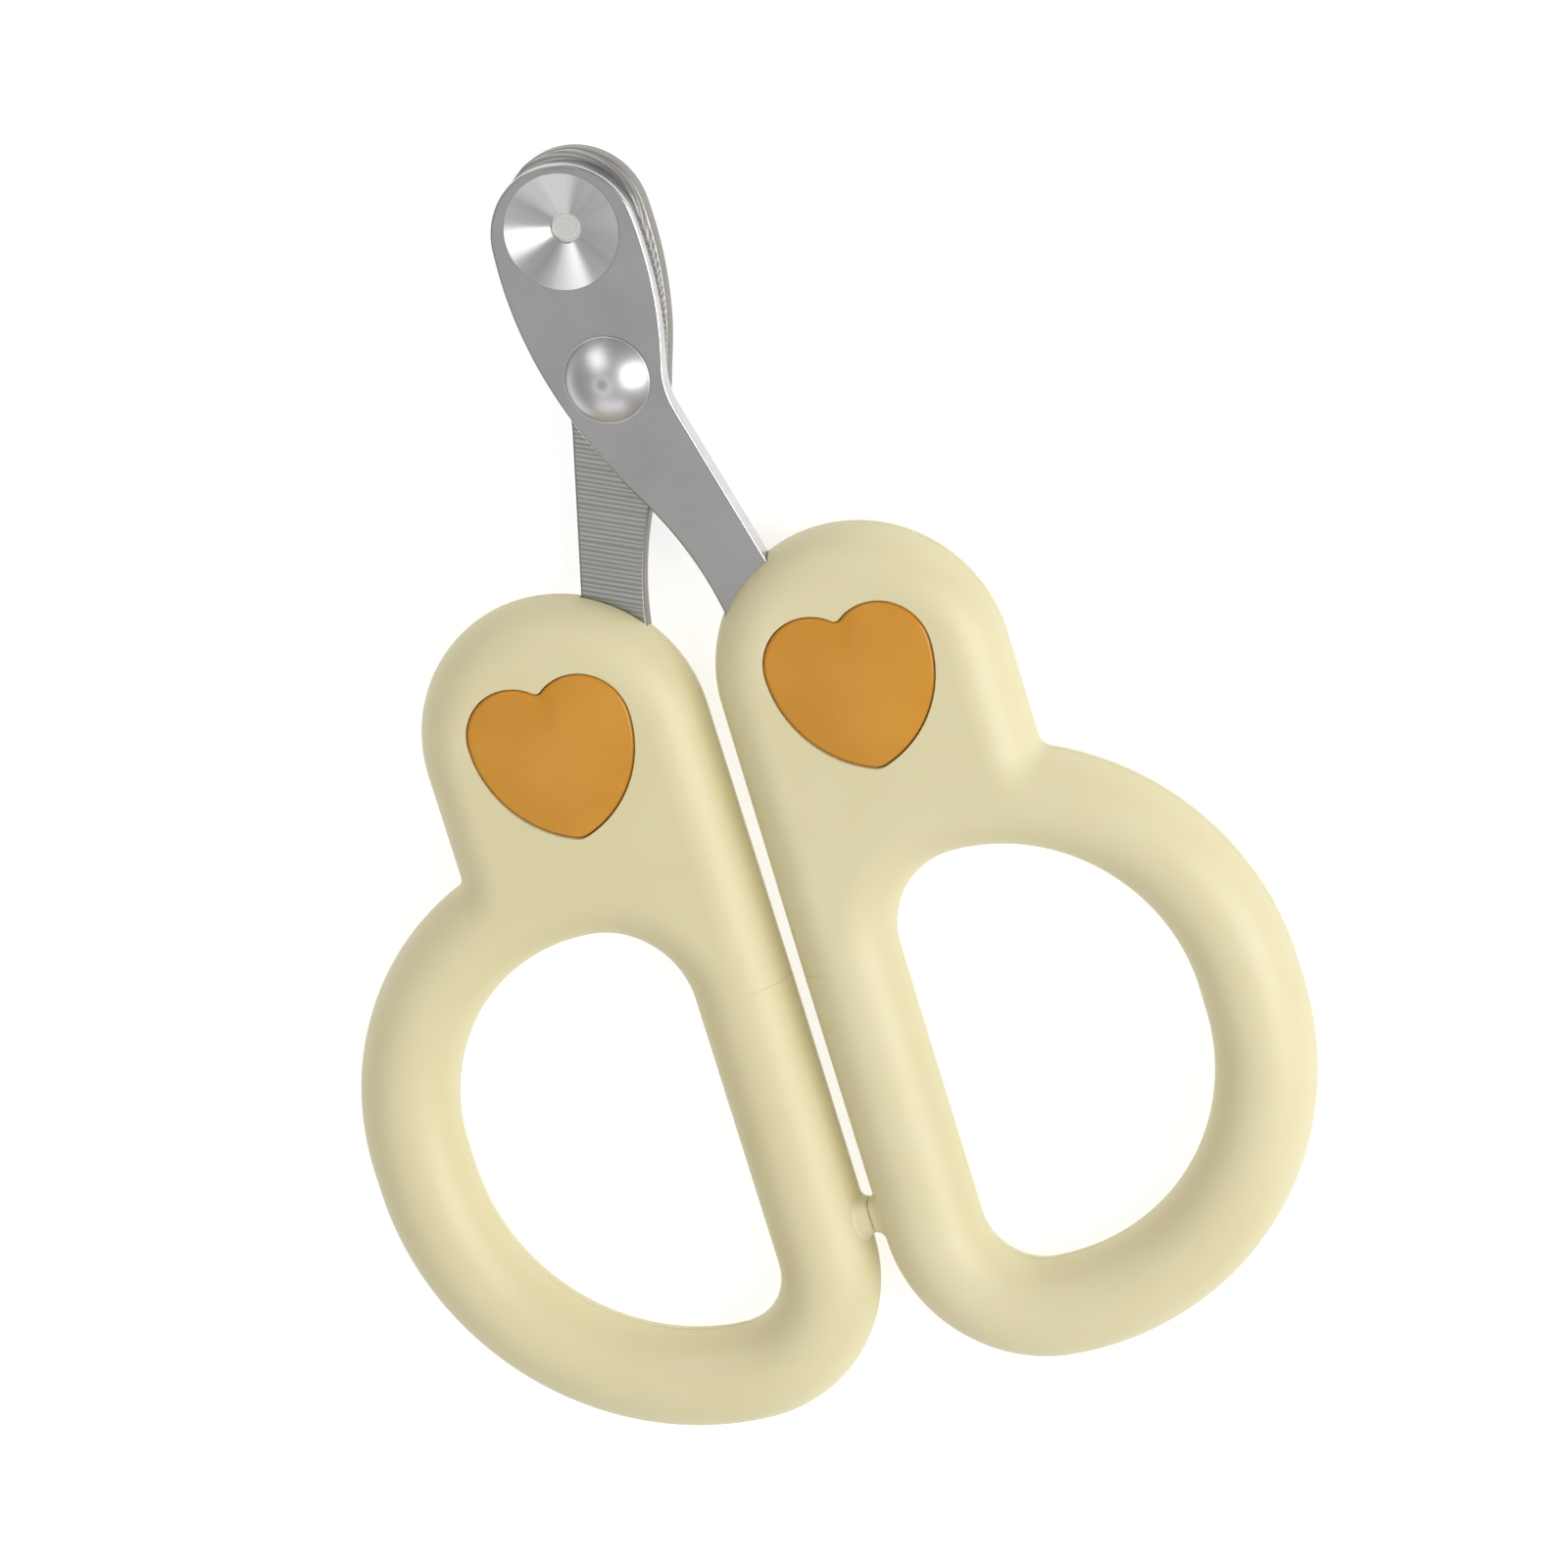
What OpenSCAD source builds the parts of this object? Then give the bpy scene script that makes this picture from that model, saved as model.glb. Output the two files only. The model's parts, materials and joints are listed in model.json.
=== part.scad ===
// Small scissor-type nail trimmer for cats: two stamped steel blades on a rivet,
// each with a looped handle made of two moulded shells around the blade's tang.
// Millimetres. The trimmer lies on its back, closed: +Z is the front face,
// +Y points from the finger loops to the head, +X is the right-hand loop.
// Plan positions are given from the pivot, which sits at [0, pivot_y].

/* [Handles] */
// Thickness of the handles
handle_t = 7; // [6.8:0.1:8.4]
// Width of the tubes that form the finger loops, wider than the handles are thick
tube_w = 7.2; // [7.2:0.1:8.8]
// Width of the gap between the two closed handles
handle_gap = 1.1; // [0.6:0.1:2]
// Width of the pad above each finger loop
pad_w = 21.4; // [19:0.1:25]
// Distance from the pivot down to the middle of the pad's round top
pad_drop = 24.5; // [24:0.1:28]

/* [Finger loops] */
// Width of the finger hole
hole_w = 20.2; // [18:0.1:25]
// Distance from the pivot down to the finger hole
hole_drop = 38.6; // [38:0.1:46]
// Corner radius of the finger hole next to the pad
hole_top_r = 6.2; // [5:0.1:8]
// Corner radius of the finger hole at its far end
hole_bottom_r = 4.2; // [3:0.1:6]
// Length of the straight bits between the hole's inner and outer curves
hole_flat = 0.4; // [0.2:0.1:1]
// Length of the straight bit in the middle of the hole's outer side
side_flat = 1.7; // [0.5:0.1:4]

/* [Stop nubs] */
// Distance from the pivot down to the stop nubs
nub_drop = 63.5; // [50:0.5:66]
// Length of each nub along the handle
nub_len = 2.6; // [2:0.1:4]
// Height of each nub
nub_h = 3.2; // [2:0.1:5]

/* [Blades] */
// Thickness of each blade
blade_t = 1.5; // [1:0.1:1.6]
// Width of the head at its widest
head_w = 10.7; // [9:0.1:13]
// Distance from the pivot up to the widest point
head_wide_y = 8.3; // [7:0.1:10]
// Distance from the pivot up to the middle of the head's round end
head_y = 10.3; // [9.5:0.1:12]
// Extra length of the rear head
rear_extra = 0.75; // [0:0.05:1.2]
// Angle that the rear head leans past the front one when closed
rear_lean = 3.4; // [0:0.1:5]
// Width of the blade at the pivot
neck_w = 8.3; // [8:0.1:9.4]
// Radius of the hollow on the outer side of the neck
neck_r = 6; // [4:0.1:8]
// Angle of the arm's straight outer edge
arm_outer_a = 14.7; // [13:0.1:16]
// Steepest angle of the arm's inner edge
arm_steep_a = 31; // [29:0.1:33]
// Angle of the arm's inner edge where it enters the handle
arm_inner_a = 6; // [5:0.1:8]
// Radius of the round part of the arm's inner edge, next to the pivot
arm_round_r = 38; // [36:0.5:40]
// Radius of the hollow part of the arm's inner edge
arm_hollow_r = 26; // [25:0.5:28]
// Radius of the paddle at the end of the tang
tang_r = 3.6; // [3:0.1:4.5]

/* [Claw hole] */
// Distance from the pivot up to the claw hole
claw_y = 10.8; // [10:0.1:11.5]
// Diameter of the claw hole
claw_d = 2.2; // [1.8:0.1:4]
// Diameter of the countersink around it
sink_d = 8.3; // [6:0.1:9]
// Depth of the straight land at the bottom of the countersink
claw_land = 0.25; // [0.1:0.05:0.4]
// Radius of the rear blade's sickle-shaped cutting edge
edge_r = 9; // [7:0.1:12]
// Distance of that edge from the claw hole's centre, measured across
edge_back = 2.6; // [2.2:0.1:3]
// Width of the bevel ground behind the cutting edge
bevel_w = 1.6; // [1:0.1:2]

/* [Pivot] */
// Diameter of the rivet's shank
shank_d = 3; // [2.4:0.1:4]
// Diameter of the rivet's domed head
dome_d = 6.2; // [5.4:0.1:7]
// Height of the domed head
dome_h = 1.5; // [1:0.1:1.8]
// Depth of the dimple in the domed head
dimple_h = 0.12; // [0.05:0.01:0.3]
// Radius of the ball that leaves the dimple
dimple_r = 1; // [0.8:0.1:1.5]
// Diameter of the rivet's formed tail
tail_d = 4.6; // [3.8:0.1:5.2]
// Height of the formed tail
tail_h = 1; // [0.8:0.1:1.2]
// Diameter of the washer under the tail
washer_d = 6.6; // [5.6:0.1:8]
// Thickness of the washer
washer_t = 0.4; // [0.3:0.05:0.5]

/* [Hearts] */
// Width of the heart plug
heart_w = 12.2; // [10.5:0.1:13]
// Length of the heart plug
heart_h = 11.6; // [10.5:0.1:12.5]
// Radius of its two lobes
lobe_r = 3.6; // [3.3:0.1:4]
// Radius of its rounded tip
tip_r = 1.4; // [0.8:0.1:2]
// Height of the lobes' centres above the screw that the plug hides
lobe_up = 1.6; // [0.5:0.1:2]
// Depth of the recess that the plug sits in
recess_h = 1.3; // [1.1:0.05:1.4]
// Height of the plug above the handle
heart_proud = 0.35; // [0.1:0.05:0.6]

/* [Tang screws] */
// Diameter of the screw's shank
screw_d = 2.2; // [1.8:0.1:2.6]
// Diameter of the screw's head
screw_head_d = 4; // [3.4:0.1:4.4]
// Height of the screw's head
screw_head_h = 0.9; // [0.7:0.05:1]
// Width of the cross in the screw's head
cross_w = 0.6; // [0.4:0.05:0.8]
// Length of the cross's two slots
cross_l = 2.6; // [2:0.1:3]
// Depth of the cross
cross_deep = 0.45; // [0.2:0.05:0.6]
// Thickness left in the back shell under the screw's end
screw_floor = 0.9; // [0.8:0.1:1.1]

/* [Locating pegs] */
// Diameter of the pegs that line up the two shells
peg_d = 2; // [1.4:0.1:2.6]
// Length of the pegs
peg_h = 1.8; // [1.2:0.1:2.2]
// Distance of the pad's two pegs from its lower corners, each way
peg_side = 3; // [2.6:0.1:3.6]

/* [Clearances] */
// Running clearance between the two blades and under the rivet's head
run_gap = 0.03; // [0.02:0.01:0.06]
// Radial clearance of the rivet in the front blade
pin_gap = 0.03; // [0.02:0.01:0.08]
// Radial clearance of screws and pegs in their holes
hole_gap = 0.05; // [0.03:0.01:0.15]
// Clearance round and above the screw heads under the plugs
head_gap = 0.1; // [0.05:0.01:0.2]
// Gap all round the heart plugs
heart_gap = 0.12; // [0.08:0.01:0.2]
// Gap left between the two stop nubs
nub_gap = 0.04; // [0.02:0.01:0.08]

/* [Hidden] */
$fn = 72;
arc_steps = 10;
// How far cuts and joined shapes run past each other
past = 1;

// Handle centreline: the tube's radius is tube_r around it, with its crest cut flat at pad_r
tube_r = tube_w / 2;
pad_r = handle_t / 2;
leg_x = handle_gap / 2 + tube_r;
ring_w = hole_w + tube_w;
in_top_r = hole_top_r + tube_r;
in_bottom_r = hole_bottom_r + tube_r;
out_top_r = ring_w - in_top_r - hole_flat;
out_bottom_r = ring_w - in_bottom_r - hole_flat;
top_y = tube_r - hole_drop;
bottom_y = top_y - out_top_r - out_bottom_r - side_flat;
out_x = leg_x + ring_w;
in_top_c = [leg_x + in_top_r, top_y - in_top_r];
in_bottom_c = [leg_x + in_bottom_r, bottom_y + in_bottom_r];
out_top_c = [out_x - out_top_r, top_y - out_top_r];
out_bottom_c = [out_x - out_bottom_r, bottom_y + out_bottom_r];
// The pad's rounded edge stays inside its outline, whether the pad or the tube is the thicker
edge_in = max(tube_r, pad_r);
pad_left = handle_gap / 2 + edge_in;
pad_cr = pad_w / 2 - edge_in;
pad_c = [handle_gap / 2 + pad_w / 2, -pad_drop];
pad_right = pad_c.x + pad_cr;
// The pad runs on this far inside the loop's tube
bury = 0.3;
pad_end = out_top_c.y + sqrt(pow(out_top_r, 2) - pow(pad_right - out_top_c.x, 2)) - bury;

// Heights
mid_z = pad_r;
front_z = mid_z + run_gap / 2;
rear_z = mid_z - run_gap / 2 - blade_t;
dome_z = front_z + blade_t + run_gap;
tail_z = rear_z - washer_t;
recess_z = handle_t - recess_h;

// Head outline: two long side arcs and a round end that touches both
side_dx = (head_w - neck_w) / 2;
side_r = (pow(head_wide_y, 2) + pow(side_dx, 2)) / (2 * side_dx);
side_x = side_r - head_w / 2;
neck_a = asin(head_wide_y / side_r);

// Everything is measured from the pivot; the origin is under the middle of the part
rear_head_y = head_y + rear_extra;
rear_reach = rear_head_y * cos(rear_lean) + end_r(rear_head_y);
pivot_y = round((tube_r - bottom_y - rear_reach) * 50) / 100;

// Heart outline
lobe_x = heart_w / 2 - lobe_r;
tip_y = heart_h - lobe_r - tip_r;
flank_r = (pow(tip_y, 2) + pow(heart_w / 2, 2) - pow(tip_r, 2)) / (heart_w - 2 * tip_r);
// The screw sits under the plug
screw_at = pad_c;

// Pegs: where the loop's curves begin and end, and two in the pad below the tang
peg_spots = [[out_x, out_top_c.y], [out_top_c.x, bottom_y], [leg_x, in_bottom_c.y],
             [leg_x + peg_side, top_y + peg_side], [pad_right - peg_side, top_y + peg_side]];

cream = "#e1d8af";
amber = "#d89a45";
satin = "#8f8d8e";
ground = "#b5b5b2";
bright = "#c9c8c8";

function end_r(y) = side_r - sqrt(pow(side_x, 2) + pow(y - head_wide_y, 2));
function dir(a) = [cos(a), sin(a)];
function arc(c, r, a0, a1) = [for (i = [0 : arc_steps]) c + r * dir(a0 + (a1 - a0) * i / arc_steps)];

// Head of a blade above the pivot, with its round end at height y
function head_points(y) =
    let (a = atan2(y - head_wide_y, side_x))
    concat(arc([-side_x, head_wide_y], side_r, -neck_a, a),
           arc([0, y], end_r(y), a, 180 - a),
           arc([side_x, head_wide_y], side_r, 180 - a, 180 + neck_a));

// Arm and tang of the blade that goes to the right-hand handle
function arm_points() =
    let (right_c = [neck_w / 2, 0] + neck_r * dir(-neck_a),
         round_c = [-neck_w / 2, 0] + arm_round_r * dir(neck_a),
         steep = round_c - arm_round_r * dir(arm_steep_a),
         hollow_c = steep - arm_hollow_r * dir(arm_steep_a),
         side = arm_end_side())
    concat(arc(round_c, -arm_round_r, neck_a, arm_steep_a),
           arc(hollow_c, arm_hollow_r, arm_steep_a, arm_inner_a),
           [screw_at - side * tang_r, screw_at + side * tang_r],
           [arm_outer_end(right_c)],
           arc(right_c, -neck_r, arm_outer_a, -neck_a));

function arm_end_side() = let (d = screw_at / norm(screw_at)) [-d.y, d.x];
// Outer corner of the arm, just inside the handle
function arm_outer_end(c) =
    let (start = c - neck_r * dir(arm_outer_a), drop = pad_drop - pad_cr + start.y)
    start + [drop * tan(arm_outer_a), -drop];

module at_pivot() { translate([0, pivot_y, 0]) children(); }

module arm_shape() {
    polygon(arm_points());
    translate(screw_at) circle(tang_r);
}

// Section of the loop's tube above the parting face, centred at distance r from the axis
module tube_section(r) {
    translate([r, 0]) intersection() {
        circle(tube_r);
        translate([-tube_r, 0]) square([2 * tube_r, pad_r]);
    }
}

// Section of the pad's rounded edge, outwards from distance r
module edge_section(r) {
    translate([r, 0]) intersection() {
        circle(pad_r);
        square(pad_r);
    }
}

// Sweep of a section round c, from angle a0 to a1
module arc_sweep(c, a0, a1) {
    translate([c.x, c.y, 0]) rotate([0, 0, a0]) rotate_extrude(angle = a1 - a0) children();
}

// Straight sweep of a section over a length, from a point along direction a; the section's +X
// points to the left of the way it goes
module line_sweep(from, a, length) {
    translate([from.x, from.y, 0]) rotate([90, 0, a + 90]) linear_extrude(length) children();
}

// Upper half of the right-hand loop
module half_loop() {
    arc_sweep(out_top_c, 0, 90) tube_section(out_top_r);
    line_sweep([in_top_c.x, top_y], 0, hole_flat) tube_section(0);
    arc_sweep(in_top_c, 90, 180) tube_section(in_top_r);
    line_sweep([leg_x, in_bottom_c.y], 90, in_top_c.y - in_bottom_c.y) tube_section(0);
    arc_sweep(in_bottom_c, 180, 270) tube_section(in_bottom_r);
    line_sweep([in_bottom_c.x, bottom_y], 0, hole_flat) tube_section(0);
    arc_sweep(out_bottom_c, 270, 360) tube_section(out_bottom_r);
    line_sweep([out_x, out_bottom_c.y], 90, side_flat) tube_section(0);
}

// Flat of the pad, from its round top down into the loop's tube
module pad_shape() {
    difference() {
        union() {
            translate(pad_c) circle(pad_cr);
            translate([pad_left, in_top_c.y]) square([pad_right - pad_left, pad_c.y - in_top_c.y]);
        }
        translate(in_top_c) circle(in_top_r - bury);
        translate([in_top_c.x, in_top_c.y - past]) square([hole_flat, in_top_r - bury + past]);
        translate(out_top_c) circle(out_top_r - bury);
    }
}

// Upper half of the right-hand pad, with its edges rounded
module half_pad() {
    linear_extrude(pad_r) pad_shape();
    arc_sweep(pad_c, 0, 180) edge_section(pad_cr);
    line_sweep([pad_left, in_top_c.y - past], 90, pad_c.y - in_top_c.y + past) edge_section(0);
    line_sweep([pad_right, pad_c.y], 270, pad_c.y - pad_end) edge_section(0);
}

// Upper half of the right-hand handle, solid, with its flat parting face at z = 0
module half_handle() {
    half_loop();
    half_pad();
    translate([nub_gap / 2, -nub_drop - nub_len / 2, 0]) cube([leg_x - nub_gap / 2, nub_len, nub_h / 2]);
}

module heart_shape(grow = 0) {
    meet = tip_y * (1 + tip_r / (flank_r - tip_r));
    translate([0, lobe_up]) {
        for (s = [-1, 1]) translate([s * lobe_x, 0]) circle(lobe_r + grow);
        translate([0, -tip_y]) circle(tip_r + grow);
        intersection() {
            translate([flank_r - heart_w / 2, 0]) circle(flank_r + grow);
            translate([heart_w / 2 - flank_r, 0]) circle(flank_r + grow);
            translate([-heart_w, -meet]) square([2 * heart_w, meet]);
        }
    }
}

module pegs(r, h) {
    for (p = peg_spots) translate(p) cylinder(r = r, h = h);
}

// The tang's seat and the screw's hole, cut from both shells of a handle
module tang_seat(z) {
    translate([0, 0, z]) linear_extrude(blade_t) arm_shape();
}

module screw_hole() {
    translate([screw_at.x, screw_at.y, screw_floor])
        cylinder(d = screw_d + 2 * hole_gap, h = handle_t);
}

// The two shells of the right-hand handle; seat_z is where its blade lies
module front_shell(seat_z) {
    difference() {
        union() {
            translate([0, 0, mid_z]) half_handle();
            translate([0, 0, mid_z - peg_h]) pegs(peg_d / 2, peg_h + pad_r / 2);
        }
        translate([pad_c.x, pad_c.y, recess_z]) linear_extrude(handle_t) heart_shape(heart_gap);
        tang_seat(seat_z);
        screw_hole();
    }
}

module back_shell(seat_z) {
    difference() {
        translate([0, 0, mid_z]) mirror([0, 0, 1]) half_handle();
        translate([0, 0, mid_z - peg_h - hole_gap]) pegs(peg_d / 2 + hole_gap, handle_t);
        tang_seat(seat_z);
        screw_hole();
    }
}

module heart_plug() {
    translate([pad_c.x, pad_c.y, recess_z]) difference() {
        linear_extrude(recess_h + heart_proud) heart_shape();
        translate([0, 0, -past])
            cylinder(d = screw_head_d + 2 * head_gap, h = past + screw_head_h + head_gap);
    }
}

module tang_screw() {
    bore_end = screw_floor + hole_gap;
    translate([screw_at.x, screw_at.y, 0]) difference() {
        union() {
            translate([0, 0, bore_end]) cylinder(d = screw_d, h = recess_z - bore_end + screw_head_h / 2);
            translate([0, 0, recess_z]) cylinder(d = screw_head_d, h = screw_head_h);
        }
        for (turn = [0, 90]) rotate([0, 0, turn])
            translate([-cross_l / 2, -cross_w / 2, recess_z + screw_head_h - cross_deep])
                cube([cross_l, cross_w, cross_deep + past]);
    }
}

module rivet_hole(d) {
    translate([0, 0, -past]) cylinder(d = d, h = handle_t + 2 * past);
}

module blade_plate(y, lean) {
    rotate([0, 0, -lean]) polygon(head_points(y));
    circle(d = neck_w);
    difference() {
        arm_shape();
        translate(screw_at) circle(d = screw_d + 2 * hole_gap);
    }
}

module front_blade() {
    color(satin) at_pivot() difference() {
        translate([0, 0, front_z]) linear_extrude(blade_t) blade_plate(head_y, 0);
        rivet_hole(shank_d + 2 * pin_gap);
        translate([0, claw_y, front_z]) {
            translate([0, 0, -past]) cylinder(d = claw_d, h = blade_t + 2 * past);
            translate([0, 0, claw_land]) cylinder(d1 = claw_d, d2 = sink_d, h = blade_t - claw_land);
        }
    }
}

module rear_blade() {
    edge_x = -edge_back - edge_r;
    color(ground) at_pivot() difference() {
        translate([0, 0, rear_z]) linear_extrude(blade_t) mirror([1, 0, 0])
            blade_plate(rear_head_y, -rear_lean);
        rivet_hole(shank_d);
        translate([edge_x, claw_y, rear_z]) cylinder(r1 = edge_r + bevel_w, r2 = edge_r, h = blade_t);
    }
}

module pivot_rivet() {
    ball_r = (pow(dome_d / 2, 2) + pow(dome_h, 2)) / (2 * dome_h);
    color(bright) at_pivot() {
        translate([0, 0, tail_z]) cylinder(d = shank_d, h = dome_z - tail_z + dome_h / 2);
        difference() {
            intersection() {
                translate([0, 0, dome_z + dome_h - ball_r]) sphere(ball_r);
                translate([0, 0, dome_z]) cylinder(d = dome_d, h = dome_h);
            }
            translate([0, 0, dome_z + dome_h - dimple_h + dimple_r]) sphere(dimple_r);
        }
        translate([0, 0, tail_z - tail_h]) rotate_extrude() tail_section();
    }
}

// Half section of the tail: a low mushroom with a flat end
module tail_section() {
    intersection() {
        square([tail_d / 2, tail_h]);
        translate([0, tail_h]) circle(tail_d / 2);
    }
}

module pivot_washer() {
    color(bright) at_pivot() translate([0, 0, tail_z]) difference() {
        cylinder(d = washer_d, h = washer_t);
        translate([0, 0, -past]) cylinder(d = shank_d, h = washer_t + 2 * past);
    }
}

module right_front_shell() { color(cream) at_pivot() front_shell(front_z); }
module right_back_shell() { color(cream) at_pivot() back_shell(front_z); }
module left_front_shell() { color(cream) at_pivot() mirror([1, 0, 0]) front_shell(rear_z); }
module left_back_shell() { color(cream) at_pivot() mirror([1, 0, 0]) back_shell(rear_z); }
module right_heart() { color(amber) at_pivot() heart_plug(); }
module left_heart() { color(amber) at_pivot() mirror([1, 0, 0]) heart_plug(); }
module right_tang_screw() { color(bright) at_pivot() tang_screw(); }
module left_tang_screw() { color(bright) at_pivot() mirror([1, 0, 0]) tang_screw(); }

front_blade();
rear_blade();
pivot_rivet();
pivot_washer();
right_front_shell();
right_back_shell();
left_front_shell();
left_back_shell();
right_heart();
left_heart();
right_tang_screw();
left_tang_screw();
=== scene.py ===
import json
import math

import bmesh
import bpy
import numpy as np
from mathutils import Matrix, Vector


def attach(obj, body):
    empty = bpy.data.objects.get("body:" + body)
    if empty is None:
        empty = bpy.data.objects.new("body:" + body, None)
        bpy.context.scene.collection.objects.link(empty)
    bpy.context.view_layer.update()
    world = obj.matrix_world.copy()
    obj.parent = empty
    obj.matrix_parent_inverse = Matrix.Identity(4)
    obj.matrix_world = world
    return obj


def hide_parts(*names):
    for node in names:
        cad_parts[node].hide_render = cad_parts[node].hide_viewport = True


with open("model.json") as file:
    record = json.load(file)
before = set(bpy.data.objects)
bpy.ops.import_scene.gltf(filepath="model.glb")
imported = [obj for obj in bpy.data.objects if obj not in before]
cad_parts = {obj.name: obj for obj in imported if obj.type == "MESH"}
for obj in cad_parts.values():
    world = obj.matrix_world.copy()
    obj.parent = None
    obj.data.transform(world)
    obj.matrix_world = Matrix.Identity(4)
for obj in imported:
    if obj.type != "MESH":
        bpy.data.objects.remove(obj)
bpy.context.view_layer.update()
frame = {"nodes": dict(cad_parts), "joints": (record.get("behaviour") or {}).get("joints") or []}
print("frame loaded,", len(frame["nodes"]), "CAD nodes")

mm = 0.001
weld = 0.002                                            # mm, points nearer than this become one
fineWeld = 0.0005                                       # the same for the blades' small roundings
tinyEdge = 1e-7                                         # metres, edges shorter than this go
pivot = np.array(frame["joints"][0]["pos_m"]) / mm      # everything below is in mm from here
midZ = pivot[2]                                         # height of the parting face


def arcRun(centre, radius, fromDeg, toDeg, step=0.35, inward=False):
    # centre + radius (cos a, sin a) with a evenly spaced; the normal points away from the centre
    fewest = 5
    count = max(fewest, int(abs(math.radians(toDeg - fromDeg)) * radius / step) + 1)
    a = np.radians(np.linspace(fromDeg, toDeg, count))
    n = np.column_stack([np.cos(a), np.sin(a)])
    return np.asarray(centre) + radius * n, -n if inward else n


def lineRun(start, end, step=0.9):
    # start + t (end - start); the normal is the way the line goes, turned right
    start, end = np.asarray(start, float), np.asarray(end, float)
    length = np.linalg.norm(end - start)
    t = np.linspace(0, 1, max(2, int(length / step) + 1))[:, None]
    d = (end - start) / length
    return start + t * (end - start), np.tile([d[1], -d[0]], (len(t), 1))


def joinRuns(*runs):
    # runs end to end, each giving up its last point to the next one's first
    return (np.vstack([p[:-1] for p, n in runs] + [runs[-1][0][-1:]]),
            np.vstack([n[:-1] for p, n in runs] + [runs[-1][1][-1:]]))


def bandFaces(rows, cols, base=0, closed=False):
    # quads between neighbouring rows of a grid whose point (r, c) is number r * cols + c
    r = np.arange(rows - 1)[:, None]
    c = np.arange(cols if closed else cols - 1)[None, :]
    a, b = r * cols + c, r * cols + (c + 1) % cols
    return (np.stack([a, b, b + cols, a + cols], -1).reshape(-1, 4) + base).tolist()


def meshFrom(name, grids, polygons=(), mirrored=False, merge=weld):
    # grids are (rows, cols, 3) arrays in mm from the pivot, polygons are (n, 3) rings
    verts, faces, base = [], [], 0
    for grid, closed in grids:
        verts.append(grid.reshape(-1, 3))
        faces += bandFaces(grid.shape[0], grid.shape[1], base, closed)
        base += grid.shape[0] * grid.shape[1]
    for ring in polygons:
        verts.append(ring)
        faces.append(list(range(base, base + len(ring))))
        base += len(ring)
    co = np.vstack(verts)
    if mirrored:
        co = co * [-1, 1, 1]
    co = (co + [0, pivot[1], 0]) * mm
    mesh = bpy.data.meshes.new(name)
    mesh.from_pydata(co.tolist(), [], faces)
    bm = bmesh.new()
    bm.from_mesh(mesh)
    bmesh.ops.remove_doubles(bm, verts=bm.verts, dist=merge * mm)
    bmesh.ops.dissolve_degenerate(bm, edges=bm.edges, dist=tinyEdge)
    bmesh.ops.recalc_face_normals(bm, faces=bm.faces)
    bm.to_mesh(mesh)
    bm.free()
    obj = bpy.data.objects.new(name, mesh)
    bpy.context.scene.collection.objects.link(obj)
    return obj


def cutWith(obj, *cutters):
    # exact difference, applied, and the cutters thrown away
    for cutter in cutters:
        m = obj.modifiers.new("cut", "BOOLEAN")
        m.operation, m.solver, m.object = "DIFFERENCE", "EXACT", cutter
    bpy.context.view_layer.update()
    graph = bpy.context.evaluated_depsgraph_get()
    done = bpy.data.meshes.new_from_object(obj.evaluated_get(graph))
    obj.modifiers.clear()
    old, obj.data = obj.data, done
    bpy.data.meshes.remove(old)
    for cutter in cutters:
        bpy.data.objects.remove(cutter)
    return obj


def smooth(obj, angle=32):
    # smooth shading, with each corner's normal led by its largest face so that flats stay flat
    obj.data.shade_smooth()
    obj.data.set_sharp_from_angle(angle=math.radians(angle))
    obj.modifiers.new("flats", "WEIGHTED_NORMAL").keep_sharp = True
    return obj


def height(points, z):
    return np.column_stack([points, np.broadcast_to(z, len(points))])


def linear(hexColour):
    # sRGB to linear light
    c = np.array([int(hexColour[i:i + 2], 16) for i in (1, 3, 5)]) / 255
    return (*np.where(c <= 0.04045, c / 12.92, ((c + 0.055) / 1.055) ** 2.4), 1)


def feed(tree, node, **sockets):
    # a socket goes by its name, with _ for a blank, or by its number, i0 for the first
    # it takes a value or another node's output; a node stands for its own first output
    for key, value in sockets.items():
        numbered = key[0] == "i" and key[1:].isdigit()
        socket = node.inputs[int(key[1:]) if numbered else key.replace("_", " ")]
        if isinstance(value, bpy.types.Node):
            value = value.outputs[0]
        if isinstance(value, bpy.types.NodeSocket):
            tree.links.new(value, socket)
        else:
            socket.default_value = value


def add(tree, kind, settings=None, **sockets):
    # one node, its settings, and what feeds its sockets; stops are a colour ramp's places and colours
    node = tree.nodes.new(kind)
    for key, value in (settings or {}).items():
        if key == "stops":
            elements = node.color_ramp.elements
            while len(elements) < len(value):
                elements.new(0.5)
            for element, (place, colour) in zip(elements, value):
                element.position, element.color = place, linear(colour)
        else:
            setattr(node, key, value)
    feed(tree, node, **sockets)
    return node


def newMaterial(name):
    mat = bpy.data.materials.new(name)
    mat.use_nodes = True
    return mat, mat.node_tree, mat.node_tree.nodes["Principled BSDF"]


def fromAxis(tree, where, up):
    # the way and the distance, in plan, from the upright axis that stands up mm above the pivot
    axis = (0, (pivot[1] + up) * mm, 0)
    offset = add(tree, "ShaderNodeVectorMath", {"operation": "SUBTRACT"}, i0=where, i1=axis)
    flat = add(tree, "ShaderNodeVectorMath", {"operation": "MULTIPLY"}, i0=offset, i1=(1, 1, 0))
    return flat, add(tree, "ShaderNodeVectorMath", {"operation": "LENGTH"}, i0=flat).outputs["Value"]


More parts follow.
